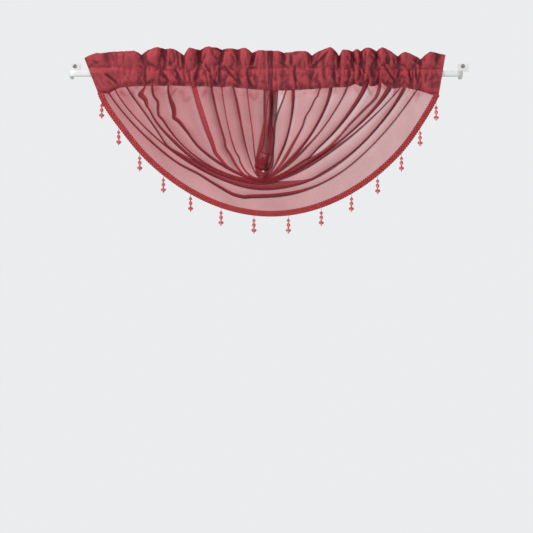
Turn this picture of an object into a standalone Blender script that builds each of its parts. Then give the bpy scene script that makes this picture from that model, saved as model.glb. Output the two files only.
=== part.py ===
"""Festoon valance of sheer voile, gathered on a flat white curtain rod.

Metres, +Z up. The wall plane is Y = 0 and the room is towards -Y. The origin is on the wall,
midway between the rod's two ends, at the height of its centre line.
"""

import math

import bmesh
import bpy
from mathutils import Vector

MM = 0.001

# Driving dimensions, in millimetres
VOILE = 1.1
SEAT = 0.3
SEAM_GAP = 0.9
ROD_HALF_LENGTH = 527.0
ROD_HEIGHT = 17.0
ROD_DEPTH = 8.0
ROD_FORWARD = 50.0
ROD_BEND = 14.0
BEND_STEPS = 5
ROD_EDGE = 2.4
STITCH_HEIGHT = 15.0
BRAID_WIDTH = 13.5
BRAID_THICK = 2.2
PLATE_LEFTWARD = 7.0
PLATE_RIGHTWARD = 24.0
PLATE_TOP = 31.5
PLATE_LOW = 9.5
PLATE_THICK = 2.0
NECK_HALF_WIDTH = 5.0
TAB_HALF_WIDTH = 3.0
TAB_REACH = 16.0
TAB_THICK = 1.6
SCREW_RIGHTWARD = 7.0
SCREW_HEIGHT = 25.0
SCREW_SIDES = 16
SCREW_PROFILE = (
    # radius, down
    (5.2, 0.0),
    (5.2, -0.8),
    (3.9, -2.2),
    (1.6, -2.8),
)

# Gathers of the heading, one row a gather: the crest that stands forward and the dip after it
GATHERS = (
    # crest_x, crest_top, dip_x, dip_top, forward
    (-452, 54, -425, 57, 5.0),
    (-352, 60, -333, 50, 7.0),
    (-292, 69, -270, 66, 10.0),
    (-256, 65, -219, 49, 8.5),
    (-205, 68, -176, 63, 11.0),
    (-153, 72, -117, 65, 10.0),
    (-96, 66, -75, 66, 7.0),
    (-56, 67, -37, 57, 9.5),
    (-16, 62, 16, 62, 5.0),
    (32, 61, 47, 55, 6.0),
    (104, 60, 123, 50, 8.5),
    (171, 68, 195, 48, 9.5),
    (205, 63, 232, 60, 9.5),
    (242, 65, 253, 60, 8.0),
    (269, 69, 296, 60, 11.0),
    (309, 68, 352, 47, 11.0),
    (371, 57, 413, 38, 8.5),
    (437, 57, 459, 55, 6.5),
)
HEADING_LEFT = (-485, 41)
HEADING_RIGHT = (479, 50)
LEFT_TAPER = 37.0
RIGHT_TAPER = 18.0
TAPER_REACH = 120.0
STATION_PITCH = 15.0
DIP_SHARPNESS = 1.5

# Half the heading's cross-section, from its seam up to the top of the frill. A point's height is
# counted from the seam, from the rod's centre line or from the stitch line, where rise is a share
# of the frill. Half_gap parts the two layers, sway moves both with a gather, and puff swells the
# layer on the side that the gather stands to.
ROD_CLEAR = ROD_DEPTH / 2 + SEAT + VOILE / 2
HEADING_SECTION = (
    # base, above, rise, half_gap, sway, puff
    ("seam", 0.0, 0.00, 1.5, 0.35, 0.0),
    ("seam", 9.0, 0.00, ROD_CLEAR + 0.6, 0.0, 0.6),
    ("rod", -10.0, 0.00, ROD_CLEAR + 0.3, 0.0, 0.9),
    ("rod", ROD_HEIGHT / 2 - 1, 0.00, ROD_CLEAR, 0.0, 0.55),
    ("stitch", 0.0, 0.00, 1.5, 0.35, 0.0),
    ("stitch", 0.0, 0.35, 2.0, 0.75, 0.0),
    ("stitch", 0.0, 0.75, 2.2, 1.0, 0.0),
    ("stitch", -1.5, 1.00, 1.5, 1.05, 0.0),
)
STITCH_WAVE = 2.5
STITCH_WAVE_LENGTH = 90.0

# Lower seam of the heading, where the swag is sewn in
SEAM = (
    # x, z
    (-447, -53),
    (-429, -46),
    (-395, -38),
    (-336, -33),
    (-229, -33),
    (-101, -36),
    (-43, -41),
    (11, -46),
    (91, -44),
    (184, -37),
    (304, -34),
    (363, -39),
    (411, -44),
    (460, -57),
)

# Folds of the swag, from the short slit in the middle out to the hem. Each hangs from the seam at
# left_x, swings through its lowest point and climbs back to right_x. Full is how square or slack
# that half hangs, 1 a half ellipse. The tuck is what each fold laps over the next.
FOLDS = (
    # left_x, left_full, low_x, low_z, right_x, right_full, tuck
    (6, 1.00, 9, -60, 12, 1.00, 0),
    (-4, 2.50, -1, -261, 19, 3.00, 4),
    (-53, 1.00, -15, -281, 66, 1.10, 6),
    (-88, 0.80, -14, -284, 128, 0.72, 6),
    (-117, 1.25, -13, -287, 171, 0.70, 6),
    (-147, 1.40, -12, -290, 216, 0.62, 7),
    (-181, 1.50, -11, -293, 265, 0.62, 13),
    (-260, 1.40, -9, -298, 302, 0.60, 8),
    (-305, 1.40, -8, -302, 335, 0.72, 8),
    (-328, 1.30, -7, -307, 360, 0.80, 7),
    (-374, 1.05, -5, -314, 374, 1.10, 7),
    (-407, 1.05, -3, -322, 391, 1.12, 7),
    (-424, 1.08, 0, -334, 408, 1.08, 7),
    (-446, 1.20, 13, -379, 460, 1.25, 0),
)
SWAG_STEPS = 28
FOLD_DEPTH = 3.8
RIPPLE = 0.10
OPEN_PITCH = 22.0
TIGHT_PITCH = 5.0
MOST_LAP = 0.34
SWAG_BELLY = 9.0

# Cross-section of one fold from its edge to the next: where each point lies between the two edges
# (lap counts in tucks, behind the edge) and how deep it lies, first as a lapped fold, then as a
# shallow ripple
FOLD_SECTION = (
    # lap, across, deep, ripple_across, ripple_deep
    (0.00, 0.00, 0.50, 0.00, 0.30),
    (0.35, 0.00, 1.00, 0.08, 0.80),
    (1.00, 0.00, 1.50, 0.18, 1.30),
    (0.35, 0.00, 2.00, 0.30, 1.60),
    (0.00, 0.45, 1.10, 0.60, 1.10),
    (0.00, 0.86, 0.05, 0.86, 0.10),
)

# The flat cloth between the slit and the first fold
PLAIN_SECTION = (
    # lap, across, deep, ripple_across, ripple_deep
    (0.00, 0.00, 0.60, 0.00, 0.60),
    (0.00, 0.25, 0.60, 0.25, 0.60),
    (0.00, 0.60, 0.40, 0.60, 0.40),
)

# Bead drops, threaded below the braid: the first one's distance from the braid's left end, and the
# steps along it from each to the next
FIRST_DROP = 26.0
DROP_STEPS = (85, 84, 84, 88, 90, 90, 92, 90, 89, 84, 87, 77, 80)
DROP_SIDES = 6
DROP_ROOT = 3.0
DROP_PROFILE = (
    # radius, down
    (0.9, -DROP_ROOT),
    (0.9, 8.0),
    (4.8, 14.0),
    (1.1, 20.0),
    (3.9, 22.6),
    (4.5, 25.8),
    (3.9, 29.0),
    (1.1, 31.6),
    (2.4, 33.4),
    (7.3, 39.6),
    (3.2, 42.6),
    (0.5, 49.0),
)


def material(name, color, roughness, metallic=0.0):
    """A plain Principled material."""
    made = bpy.data.materials.new(name)
    made.use_nodes = True
    shader = made.node_tree.nodes["Principled BSDF"]
    shader.inputs["Base Color"].default_value = (*color, 1.0)
    shader.inputs["Roughness"].default_value = roughness
    shader.inputs["Metallic"].default_value = metallic
    return made


def between(rows, x):
    """Reads a rising table of (x, value) pairs."""
    if x <= rows[0][0]:
        return rows[0][1]
    for (x0, v0), (x1, v1) in zip(rows, rows[1:]):
        if x <= x1:
            return v0 + (v1 - v0) * (x - x0) / (x1 - x0)
    return rows[-1][1]


def mix(a, b, share):
    return a + (b - a) * share


def ease(low, high, value):
    share = min(max((value - low) / (high - low), 0.0), 1.0)
    return share * share * (3 - 2 * share)


def mesh_object(name, mesh, look, collection):
    made = bpy.data.objects.new(name, mesh)
    mesh.materials.append(look)
    collection.objects.link(made)
    return made


def sheet(name, rows, thickness, look, collection, crown=None):
    """An open sheet through rows of points in millimetres, thickened to both sides.

    Past its crown row a doubled sheet comes down again, and its faces are split the other way, so
    that both layers bend alike.
    """
    width = len(rows[0])
    points = [Vector(point) * MM for row in rows for point in row]
    faces = []
    for j in range(len(rows) - 1):
        for i in range(width - 1):
            a = j * width + i
            corners = (a, a + 1, a + width + 1, a + width)
            if crown is not None and j >= crown:
                corners = corners[1:] + corners[:1]
            faces.append(corners)
    mesh = bpy.data.meshes.new(name)
    mesh.from_pydata(points, [], faces)
    made = mesh_object(name, mesh, look, collection)
    solid = made.modifiers.new("Thickness", "SOLIDIFY")
    solid.thickness = thickness * MM
    solid.offset = 0.0
    solid.use_quality_normals = True
    mesh.shade_smooth()
    return made


# Heading


def heading_stations():
    """x, top height and forward reach of each column of the heading, from end to end."""
    found = [(HEADING_LEFT[0], HEADING_LEFT[1], 1.0)]
    for crest_x, crest_top, dip_x, dip_top, forward in GATHERS:
        found.append((crest_x, crest_top, forward))
        found.append((dip_x, dip_top, -0.6 * forward))
    found.append((HEADING_RIGHT[0], HEADING_RIGHT[1], 1.5))
    stations = []
    for (x0, top0, out0), (x1, top1, out1) in zip(found, found[1:]):
        count = max(1, round((x1 - x0) / STATION_PITCH))
        for step in range(count):
            share = step / count
            bend = share**DIP_SHARPNESS if out0 > out1 else 1 - (1 - share) ** DIP_SHARPNESS
            stations.append((mix(x0, x1, share), mix(top0, top1, bend), mix(out0, out1, bend)))
    stations.append(found[-1])
    return stations


def tapered(x, z, top):
    """The ends of the heading slant inwards from the frill to the seam."""
    fall = (top - z) / (top - between(SEAM, x))
    left = LEFT_TAPER * (1 - ease(0, TAPER_REACH, x - HEADING_LEFT[0]))
    right = RIGHT_TAPER * (1 - ease(0, TAPER_REACH, HEADING_RIGHT[0] - x))
    return x + (left - right) * fall


def heading_column(x, top, out):
    """One strip of the band: up the front, over the frill and down the back."""
    seam = between(SEAM, tapered(x, between(SEAM, x), top))
    stitch = STITCH_HEIGHT + STITCH_WAVE * math.sin(x / STITCH_WAVE_LENGTH)
    bases = {"seam": seam, "rod": 0.0, "stitch": stitch}
    front, back = [], []
    for base, above, rise, half_gap, sway, puff in HEADING_SECTION:
        z = bases[base] + above + rise * (top - stitch)
        front.append((z, -half_gap - sway * out - puff * max(out, 0.0)))
        back.append((z, half_gap - sway * out + puff * max(-out, 0.0)))
    crown = [(top, -HEADING_SECTION[-1][4] * out)]
    section = front + crown + back[::-1]
    return [(tapered(x, z, top), y - ROD_FORWARD, z) for z, y in section]


def build_heading(look, collection):
    columns = [heading_column(*station) for station in heading_stations()]
    rows = [list(row) for row in zip(*columns)]
    sheet("heading", rows, VOILE, look, collection, crown=len(rows) // 2)


def heading_edge():
    """The heading's lower edge as it is built, for the swag to hang from."""
    columns = [heading_column(*station) for station in heading_stations()]
    return [(column[0][0], column[0][2]) for column in columns]


# Swag


def fold_line(row, share, edge):
    """A point on a fold edge, share 0 at the left of the seam and 1 at its right."""
    left_x, left_full, low_x, low_z, right_x, right_full, _ = row
    turn = math.pi * share
    reach, fall = math.cos(turn), math.sin(turn)
    end_x, full = (left_x, left_full) if reach > 0 else (right_x, right_full)
    top = between(edge, end_x) - SEAM_GAP
    across = abs(reach) ** (2 / (1 + min(full, 1)))
    down = max(fall, 0.0) ** (2 / max(full, 1))
    return Vector((low_x + (end_x - low_x) * across, 0, top + (low_z - top) * down))


def swag_rows():
    """The swag as rows of points, each row running from the seam's left end round to its right."""
    edge = heading_edge()
    shares = [i / SWAG_STEPS for i in range(SWAG_STEPS + 1)]
    lines = [[fold_line(row, share, edge) for share in shares] for row in FOLDS]
    rows = []
    for k in range(len(FOLDS) - 1):
        tuck = FOLDS[k][6]
        section = FOLD_SECTION if tuck else PLAIN_SECTION
        for lap, across, deep, ripple_across, ripple_deep in section:
            row = []
            for i in range(len(shares)):
                here, following = lines[k][i], lines[k + 1][i]
                gap = following - here
                ahead = lines[k][min(i + 1, SWAG_STEPS)] + lines[k + 1][min(i + 1, SWAG_STEPS)]
                behind = lines[k][max(i - 1, 0)] + lines[k + 1][max(i - 1, 0)]
                along = (ahead - behind).normalized()
                pitch = (gap - along * gap.dot(along)).length
                lapped = ease(TIGHT_PITCH, OPEN_PITCH, pitch)
                most = min(tuck / max(pitch, 1.0), MOST_LAP)
                fold_at = across - lap * most
                share = mix(ripple_across, fold_at, lapped)
                depth = mix(ripple_deep * RIPPLE * pitch, deep * FOLD_DEPTH, lapped)
                belly = SWAG_BELLY * math.sin(math.pi * shares[i])
                point = here + gap * share
                if i in (0, SWAG_STEPS):
                    point.z = between(edge, point.x) - SEAM_GAP
                row.append((point.x, depth - belly - ROD_FORWARD - FOLD_DEPTH, point.z))
            rows.append(row)
    hem = []
    for share, point in zip(shares, lines[-1]):
        belly = SWAG_BELLY * math.sin(math.pi * share)
        hem.append((point.x, -belly - ROD_FORWARD - FOLD_DEPTH, point.z))
    rows.append(hem)
    return rows


def build_swag(look, collection):
    sheet("swag_panel", swag_rows(), VOILE, look, collection)


# Braid and its bead drops


def braid_rows():
    """The braid laid on the front of the hem, as three lines along it."""
    edge = heading_edge()
    steps = 2 * SWAG_STEPS
    points = [fold_line(FOLDS[-1], i / steps, edge) for i in range(steps + 1)]
    rows = []
    for inset in (-1.0, BRAID_WIDTH / 2 - 1, BRAID_WIDTH - 1):
        row = []
        for i in range(len(points)):
            along = (points[min(i + 1, steps)] - points[max(i - 1, 0)]).normalized()
            inward = Vector((along.z, 0, -along.x)) * -1
            belly = SWAG_BELLY * math.sin(math.pi * i / steps)
            face = belly + ROD_FORWARD + FOLD_DEPTH + VOILE / 2 + SEAT + BRAID_THICK / 2
            place = points[i] + inward * inset
            row.append((place.x, -face, place.z))
        rows.append(row)
    return rows


def drop_places(line):
    """Where the drops hang from the braid's lower edge."""
    spans = [(Vector(b) - Vector(a)).length for a, b in zip(line, line[1:])]
    places = []
    for number in range(len(DROP_STEPS) + 1):
        left = FIRST_DROP + sum(DROP_STEPS[:number])
        for a, b, span in zip(line, line[1:], spans):
            if left <= span:
                places.append(Vector(a).lerp(Vector(b), left / span))
                break
            left -= span
    return places


def turned(name, profile, sides):
    """A closed body turned about Z from rows of (radius, down), in metres."""
    bm = bmesh.new()
    rings = []
    for radius, down in profile:
        ring = []
        for side in range(sides):
            angle = 2 * math.pi * side / sides
            spot = Vector((radius * math.cos(angle), radius * math.sin(angle), -down))
            ring.append(bm.verts.new(spot * MM))
        rings.append(ring)
    for upper, lower in zip(rings, rings[1:]):
        for side in range(sides):
            after = (side + 1) % sides
            bm.faces.new((upper[side], lower[side], lower[after], upper[after]))
    bm.faces.new(rings[0])
    bm.faces.new(rings[-1][::-1])
    bmesh.ops.recalc_face_normals(bm, faces=bm.faces)
    mesh = bpy.data.meshes.new(name)
    bm.to_mesh(mesh)
    bm.free()
    return mesh


def build_fringe(look, collection, cutters):
    rows = braid_rows()
    braid = sheet("braid_fringe", rows, BRAID_THICK, look, collection)
    one_drop = turned("bead_drop", DROP_PROFILE, DROP_SIDES)
    bm = bmesh.new()
    for place in drop_places(rows[0]):
        start = len(bm.verts)
        bm.from_mesh(one_drop)
        bm.verts.ensure_lookup_table()
        bmesh.ops.translate(bm, verts=bm.verts[start:], vec=place * MM)
    drops = bpy.data.meshes.new("bead_drops")
    bm.to_mesh(drops)
    bm.free()
    beads = mesh_object("bead_drops", drops, look, cutters)
    beads.hide_render = True
    beads.display_type = "WIRE"
    union = braid.modifiers.new("Drops", "BOOLEAN")
    union.operation = "UNION"
    union.object = beads


# Rod, brackets and screws


def rod_path():
    """The rod's centre line in plan, from wall to wall, with rounded corners."""
    end_y = -PLATE_THICK - SEAT
    middle = ROD_HALF_LENGTH - ROD_DEPTH / 2
    path = [(-middle, end_y)]
    for side, first in ((-1, 180), (1, 270)):
        centre_x = side * (middle - ROD_BEND)
        centre_y = ROD_BEND - ROD_FORWARD
        for step in range(BEND_STEPS + 1):
            angle = math.radians(first + 90 * step / BEND_STEPS)
            path.append((centre_x + ROD_BEND * math.cos(angle), centre_y + ROD_BEND * math.sin(angle)))
    path.append((middle, end_y))
    return path


def build_rod(look, collection):
    """A flat bar on edge: its section is swept round the path."""
    path = [Vector((x, y, 0)) for x, y in rod_path()]
    half_depth, half_height = ROD_DEPTH / 2, ROD_HEIGHT / 2
    section = (
        # outward, up
        (half_depth, half_height - ROD_EDGE),
        (half_depth - ROD_EDGE, half_height),
        (ROD_EDGE - half_depth, half_height),
        (-half_depth, half_height - ROD_EDGE),
        (-half_depth, ROD_EDGE - half_height),
        (ROD_EDGE - half_depth, -half_height),
        (half_depth - ROD_EDGE, -half_height),
        (half_depth, ROD_EDGE - half_height),
    )
    bm = bmesh.new()
    rings = []
    for i, here in enumerate(path):
        along = (path[min(i + 1, len(path) - 1)] - path[max(i - 1, 0)]).normalized()
        outward = Vector((along.y, -along.x, 0))
        rings.append([bm.verts.new((here + outward * o + Vector((0, 0, up))) * MM) for o, up in section])
    for near, far in zip(rings, rings[1:]):
        for side in range(len(section)):
            after = (side + 1) % len(section)
            bm.faces.new((near[side], far[side], far[after], near[after]))
    bm.faces.new(rings[0])
    bm.faces.new(rings[-1])
    bmesh.ops.recalc_face_normals(bm, faces=bm.faces)
    mesh = bpy.data.meshes.new("rod")
    bm.to_mesh(mesh)
    bm.free()
    mesh_object("rod", mesh, look, collection)


def box(name, low, high):
    """A closed box between two corners in millimetres."""
    bm = bmesh.new()
    bmesh.ops.create_cube(bm, size=1.0)
    middle = (Vector(low) + Vector(high)) / 2 * MM
    size = (Vector(high) - Vector(low)) * MM
    bmesh.ops.scale(bm, vec=size, verts=bm.verts)
    bmesh.ops.translate(bm, vec=middle, verts=bm.verts)
    mesh = bpy.data.meshes.new(name)
    bm.to_mesh(mesh)
    bm.free()
    return mesh


def build_bracket(name, side, look, collection, cutters):
    """A wall plate with a neck behind the rod's end and two tabs that the end slides between.

    The same stamping is used at both ends, so its plate reaches further to the right at each.
    """
    middle = side * (ROD_HALF_LENGTH - ROD_DEPTH / 2)
    plate_x = (middle - PLATE_LEFTWARD, middle + PLATE_RIGHTWARD)
    neck_x = (middle - NECK_HALF_WIDTH, middle + NECK_HALF_WIDTH)
    tab = ROD_HEIGHT / 2 + SEAT
    tab_low_x, tab_high_x = middle - TAB_HALF_WIDTH, middle + TAB_HALF_WIDTH
    plate = box(name, (plate_x[0], -PLATE_THICK, PLATE_LOW), (plate_x[1], 0, PLATE_TOP))
    body = mesh_object(name, plate, look, collection)
    pieces = (
        # word, low corner, high corner
        ("neck", (neck_x[0], -PLATE_THICK, -tab - TAB_THICK), (neck_x[1], 0, PLATE_LOW + PLATE_THICK)),
        ("upper_tab", (tab_low_x, -TAB_REACH, tab), (tab_high_x, -PLATE_THICK / 2, tab + TAB_THICK)),
        ("lower_tab", (tab_low_x, -TAB_REACH, -tab - TAB_THICK), (tab_high_x, -PLATE_THICK / 2, -tab)),
    )
    for word, low, high in pieces:
        tool = mesh_object(name + "_" + word, box(name + "_" + word, low, high), look, cutters)
        tool.hide_render = True
        tool.display_type = "WIRE"
        union = body.modifiers.new(word, "BOOLEAN")
        union.operation = "UNION"
        union.object = tool


def build_screw(name, side, look, collection):
    """The screw's round head, standing on the wall plate."""
    made = mesh_object(name, turned(name, SCREW_PROFILE, SCREW_SIDES), look, collection)
    x = side * (ROD_HALF_LENGTH - ROD_DEPTH / 2) + SCREW_RIGHTWARD
    made.location = Vector((x, -PLATE_THICK - SEAT, SCREW_HEIGHT)) * MM
    made.rotation_euler = (math.radians(90), 0, 0)


def main():
    for stale in list(bpy.data.objects):
        bpy.data.objects.remove(stale, do_unlink=True)
    parts = bpy.data.collections.new("festoon_valance")
    cutters = bpy.data.collections.new("cutters")
    bpy.context.scene.collection.children.link(parts)
    bpy.context.scene.collection.children.link(cutters)
    voile = material("burgundy_voile", (0.36, 0.03, 0.045), 0.75)
    braid = material("burgundy_braid", (0.38, 0.018, 0.03), 0.65)
    enamel = material("white_enamel", (0.86, 0.86, 0.84), 0.35)
    steel = material("dull_steel", (0.35, 0.34, 0.33), 0.4, 1.0)
    build_heading(voile, parts)
    build_swag(voile, parts)
    build_fringe(braid, parts, cutters)
    build_rod(enamel, parts)
    for word, side in (("left", -1), ("right", 1)):
        build_bracket("bracket_" + word, side, enamel, parts, cutters)
        build_screw("screw_" + word, side, steel, parts)


main()
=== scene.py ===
"""Looks of the festoon valance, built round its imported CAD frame.

The row frame: +X to the viewer's right, +Y into the wall, +Z up, with the origin on the wall at the
height of the rod's centre line. Sizes are in millimetres until a mesh is made from them.
"""

import math

import bmesh
import bpy
import numpy as np
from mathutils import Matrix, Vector


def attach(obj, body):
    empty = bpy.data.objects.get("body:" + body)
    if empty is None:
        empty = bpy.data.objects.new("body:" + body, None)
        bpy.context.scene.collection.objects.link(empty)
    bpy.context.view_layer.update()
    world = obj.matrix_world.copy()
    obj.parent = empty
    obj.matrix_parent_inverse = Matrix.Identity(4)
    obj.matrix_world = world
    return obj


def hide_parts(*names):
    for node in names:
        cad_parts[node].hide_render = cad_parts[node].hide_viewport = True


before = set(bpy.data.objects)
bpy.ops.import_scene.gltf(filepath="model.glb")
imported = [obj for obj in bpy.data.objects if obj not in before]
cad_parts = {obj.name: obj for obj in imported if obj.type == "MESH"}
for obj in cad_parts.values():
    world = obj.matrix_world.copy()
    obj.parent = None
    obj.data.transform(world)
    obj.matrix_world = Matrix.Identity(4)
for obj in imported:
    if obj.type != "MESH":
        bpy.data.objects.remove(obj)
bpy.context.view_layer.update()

MM = 0.001

# Camera: square on, through a long lens
SENSOR = 36.0
VIEW_WIDTH = 1.4215
VIEW_DISTANCE = 5.0
CLOTH_PLANE = -0.055
VIEW_X = 0.0013
VIEW_Z = -0.5152

# Sizes shared with the CAD source
VOILE = 1.1
SEAT = 0.3
ROD_HALF_LENGTH = 527.0
ROD_DEPTH = 8.0
ROD_FORWARD = 50.0
ROD_BEND = 14.0
STITCH_HEIGHT = 15.0
STITCH_WAVE = 2.5
STITCH_WAVE_LENGTH = 90.0
BRAID_WIDTH = 13.5
BRAID_THICK = 2.2
PLATE_THICK = 2.0
SCREW_RIGHTWARD = 7.0
SCREW_HEIGHT = 25.0
HEADING_LEFT = (-485.0, 41.0)
HEADING_RIGHT = (479.0, 50.0)
LEFT_TAPER = 37.0
RIGHT_TAPER = 18.0
TAPER_REACH = 120.0
DIP_SHARPNESS = 1.5
FOLD_DEPTH = 3.8
SWAG_BELLY = 9.0
FIRST_DROP = 26.0
DROP_STEPS = (85, 84, 84, 88, 90, 90, 92, 90, 89, 84, 87, 77, 80)

GATHERS = (
    # crest_x, crest_top, dip_x, dip_top, forward
    (-452, 54, -425, 57, 5.0),
    (-352, 60, -333, 50, 7.0),
    (-292, 69, -270, 66, 10.0),
    (-256, 65, -219, 49, 8.5),
    (-205, 68, -176, 63, 11.0),
    (-153, 72, -117, 65, 10.0),
    (-96, 66, -75, 66, 7.0),
    (-56, 67, -37, 57, 9.5),
    (-16, 62, 16, 62, 5.0),
    (32, 61, 47, 55, 6.0),
    (104, 60, 123, 50, 8.5),
    (171, 68, 195, 48, 9.5),
    (205, 63, 232, 60, 9.5),
    (242, 65, 253, 60, 8.0),
    (269, 69, 296, 60, 11.0),
    (309, 68, 352, 47, 11.0),
    (371, 57, 413, 38, 8.5),
    (437, 57, 459, 55, 6.5),
)

SEAM = (
    # x, z
    (-447, -53),
    (-429, -46),
    (-395, -38),
    (-336, -33),
    (-229, -33),
    (-101, -36),
    (-43, -41),
    (11, -46),
    (91, -44),
    (184, -37),
    (304, -34),
    (363, -39),
    (411, -44),
    (460, -57),
)

# Where a gather lifts the seam, or lowers it
SEAM_LIFTS = (
    # x, lift, reach
    (-259, 2.5, 8),
    (-93, 3.0, 9),
    (237, 7.0, 11),
    (270, 9.0, 5),
    (305, 10.0, 10),
    (341, -4.0, 6),
    (370, 3.5, 10),
)

# Creases of the heading's front: a straight valley from its upper to its lower point
CREASES = (
    # upper_x, upper_z, lower_x, lower_z, depth, reach
    (-332, 52, -322, 18, 4.5, 5.5),
    (-322, 18, -320, -27, 4.5, 4.5),
    (-443, -2, -407, -29, 5.5, 5.5),
    (-464, 34, -453, 26, 1.8, 6.0),
    (-384, 22, -368, 10, -1.6, 1.8),
    (-284, 66, -264, 33, 1.6, 3.5),
    (-254, 56, -256, 20, 4.5, 5.5),
    (-222, 48, -220, 22, 4.0, 5.0),
    (-275, -2, -260, -23, 4.8, 5.5),
    (-243, 13, -226, -19, 4.8, 5.0),
    (-304, 19, -292, 15, 2.5, 4.0),
    (-283, 3, -283, -24, 1.8, 4.0),
    (-207, 47, -192, 18, 3.0, 4.0),
    (-205, 14, -203, -32, 2.8, 5.0),
    (-181, 20, -192, -23, 3.5, 4.0),
    (-174, 65, -179, 26, 4.5, 5.5),
    (-164, 24, -146, -4, 4.8, 3.8),
    (-146, -4, -132, -30, 5.5, 6.0),
    (-120, 60, -114, 53, 4.0, 5.5),
    (-114, 53, -125, 20, 4.8, 5.0),
    (-123, 20, -127, -22, 4.5, 4.2),
    (-111, 19, -81, -18, 5.0, 4.0),
    (-83, -16, -65, -32, 4.5, 5.5),
    (-56, 62, -54, 20, 2.0, 3.2),
    (-29, 60, -42, 24, 3.8, 5.0),
    (-47, 14, -29, 16, 3.2, 3.0),
    (-51, 12, -47, -13, 3.5, 4.0),
    (-47, -13, -33, -36, 4.8, 5.5),
    (6, 58, 8, -40, 2.2, 2.4),
    (15, 58, 17, -40, 3.2, 3.0),
    (29, 31, 59, 15, 2.5, 4.0),
    (68, 50, 68, 20, 3.8, 5.5),
    (75, 19, 79, -40, 4.2, 4.5),
    (114, 56, 116, 17, 3.2, 3.0),
    (169, 62, 121, 14, 3.6, 5.5),
    (130, 12, 121, -18, 3.2, 5.0),
    (197, 46, 190, 15, 4.8, 4.5),
    (182, 22, 185, -27, 5.5, 4.5),
    (210, 50, 232, 17, 3.2, 4.0),
    (239, 59, 241, 22, 4.8, 4.5),
    (264, 60, 265, 22, 4.2, 4.2),
    (297, 53, 291, 15, 4.0, 4.2),
    (319, 46, 321, 22, 3.4, 4.0),
    (341, 41, 343, 22, 3.4, 4.0),
    (387, 41, 409, 26, 2.6, 7.0),
    (413, 36, 418, 20, 2.4, 4.0),
    (250, 24, 274, -14, 4.8, 3.6),
    (272, -14, 272, -28, 5.0, 4.0),
    (282, 24, 277, -18, 3.8, 3.6),
    (314, 24, 341, -18, 4.8, 3.8),
    (341, -14, 343, -34, 5.0, 4.5),
    (303, 8, 299, -27, 3.6, 4.2),
    (356, 10, 350, -14, 3.0, 4.0),
    (365, -5, 383, -23, 2.8, 4.0),
    (383, 10, 387, -23, 4.2, 4.5),
    (225, 6, 216, -28, 3.0, 5.0),
    (432, 2, 434, -23, 2.4, 4.5),
    (438, 50, 438, -46, 1.0, 2.0),
)

# Stretches of the heading that are gathered tightly, and how far their fine wrinkles stand
WRINKLED = (
    # x, wrinkle
    (-481, 0.25),
    (-345, 0.35),
    (-318, 1.4),
    (-150, 1.6),
    (-60, 1.1),
    (60, 0.9),
    (170, 1.2),
    (215, 2.0),
    (400, 2.0),
    (425, 0.7),
    (477, 0.4),
)

# Folds of the swag, from the slit in the middle out to the hem: where each leaves the seam at the
# left and at the right, and its lowest point. Sink and lean shape the way between them: both at 1
# make a quarter ellipse, and both at 2 a straight line.
FOLDS = (
    # left_x, left_sink, left_lean, low_x, low_z, right_x, right_sink, right_lean
    (7.5, 1.00, 1.00, 9, -58.0, 11, 1.00, 1.00),
    (-4, 1.00, 1.00, -3, -262.0, 33, 2.55, 0.55),
    (-6, 1.00, 1.00, -8, -279.0, 56, 2.55, 1.20),
    (-53, 2.55, 0.80, -9, -281.0, 76, 1.10, 1.25),
    (-90, 2.55, 0.95, -11, -282.6, 147, 2.35, 1.10),
    (-120, 1.80, 0.75, -11, -284.6, 177, 1.45, 1.35),
    (-148, 2.10, 0.70, -12, -286.6, 219, 1.75, 1.35),
    (-199, 1.95, 0.70, -12, -288.8, 273, 1.70, 1.30),
    (-263, 1.00, 1.45, -12, -291.0, 307, 1.60, 1.30),
    (-306, 1.15, 1.15, -11, -293.1, 336, 1.75, 1.35),
    (-325, 1.05, 1.20, -11, -296.0, 360, 1.90, 1.30),
    (-374, 1.80, 1.00, -9, -307.8, 373, 1.85, 0.95),
    (-405, 1.65, 1.20, -9, -312.2, 376, 1.90, 0.95),
    (-425, 1.80, 1.10, 0, -331.5, 405, 2.05, 0.95),
    (-446, 1.667, 1.00, 13, -379.0, 460, 1.60, 1.00),
)

# How far each fold laps over the cloth on its inner side, from the left end of its line, down to
# its lowest point and up to the right end
LAP_STATIONS = (0.0, 0.025, 0.07, 0.20, 0.35, 0.45, 0.55, 0.65, 0.80, 0.93, 1.0)
LAPS = (
    # one width a station, the sixth for both stations about the lowest point
    (0, 0, 0, 0, 0, 0, 0, 0, 0, 0),
    (22, 22, 22, 17, 32, 22, 17, 15, 20, 22),
    (3, 3, 4, 4, 4, 12, 5, 4, 4, 4),
    (4, 4, 3, 3, 4, 3, 6, 5, 7, 8),
    (4, 5, 6, 4, 4, 4, 9, 6, 4, 4),
    (4, 4, 3, 3, 4, 5, 9, 6, 6, 8),
    (5, 4, 4, 4, 5, 6, 8, 4, 4, 4),
    (15, 15, 14, 11, 6, 6, 4, 4.5, 9, 12),
    (4, 4, 12, 5, 8, 9, 13, 5, 7, 11),
    (5, 5, 7, 4, 5, 8, 9, 5, 8, 12),
    (2, 15, 4, 9, 10, 15, 9, 4, 3, 3),
    (4, 4, 4, 5, 15, 16, 5, 4, 5, 8),
    (3, 3, 3, 4, 6, 5, 3, 2.2, 2.2, 2.2),
    (4, 3, 3, 4, 6, 8, 3, 2.5, 2.5, 4),
    (0, 0, 0, 0, 0, 0, 0, 0, 0, 0),
)

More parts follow.
